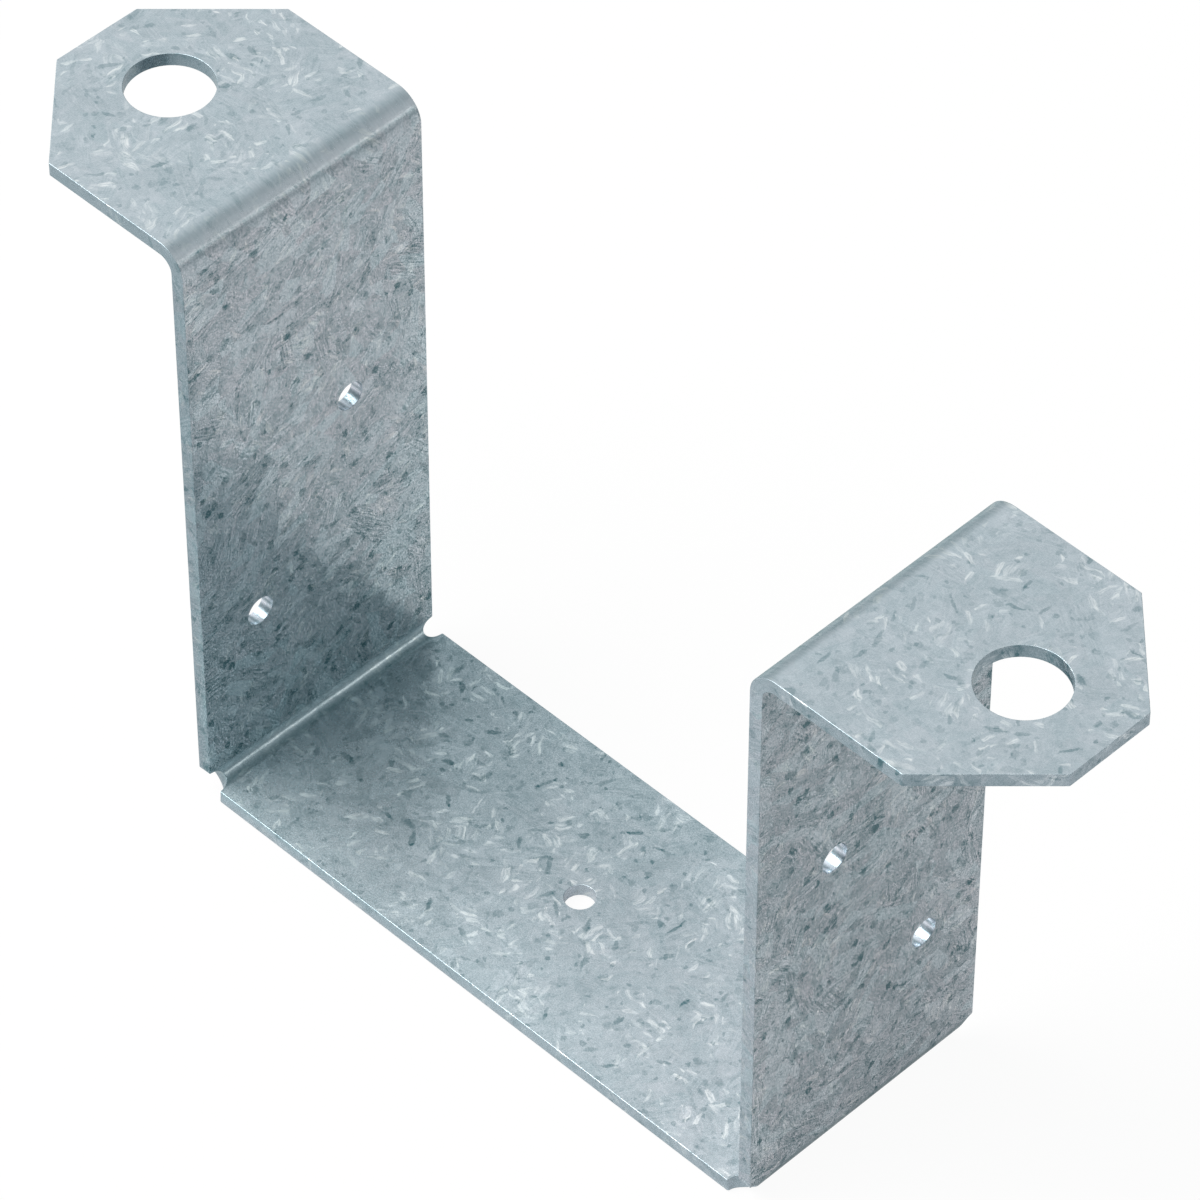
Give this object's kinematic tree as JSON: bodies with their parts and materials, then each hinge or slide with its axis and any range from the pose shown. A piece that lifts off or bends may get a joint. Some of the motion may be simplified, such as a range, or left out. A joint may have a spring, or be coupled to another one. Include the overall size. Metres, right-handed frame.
{
  "type": "deck post tie",
  "caption": "Folded galvanised strap: a square-bottomed pocket that holds a post between two legs, with a holed flange on each leg to bolt it to a deck joist.",
  "frame": {"origin": "centre of the base's underside, which is the centre of the bottom of the bounding box", "axes": "+X from flange to flange, towards one bolting flange; +Y across the strap, along the post it holds; +Z from the base towards the faces of the flanges that bear on the joist"},
  "size_m": [0.161, 0.0382, 0.0908],
  "materials": {
    "galvanised_sheet": "hot-dip galvanised steel with a fine feathery spangle, satin and blue-grey"
  },
  "bodies": {
    "root": {"folded_strap": "galvanised_sheet"}
  },
  "joints": []
}
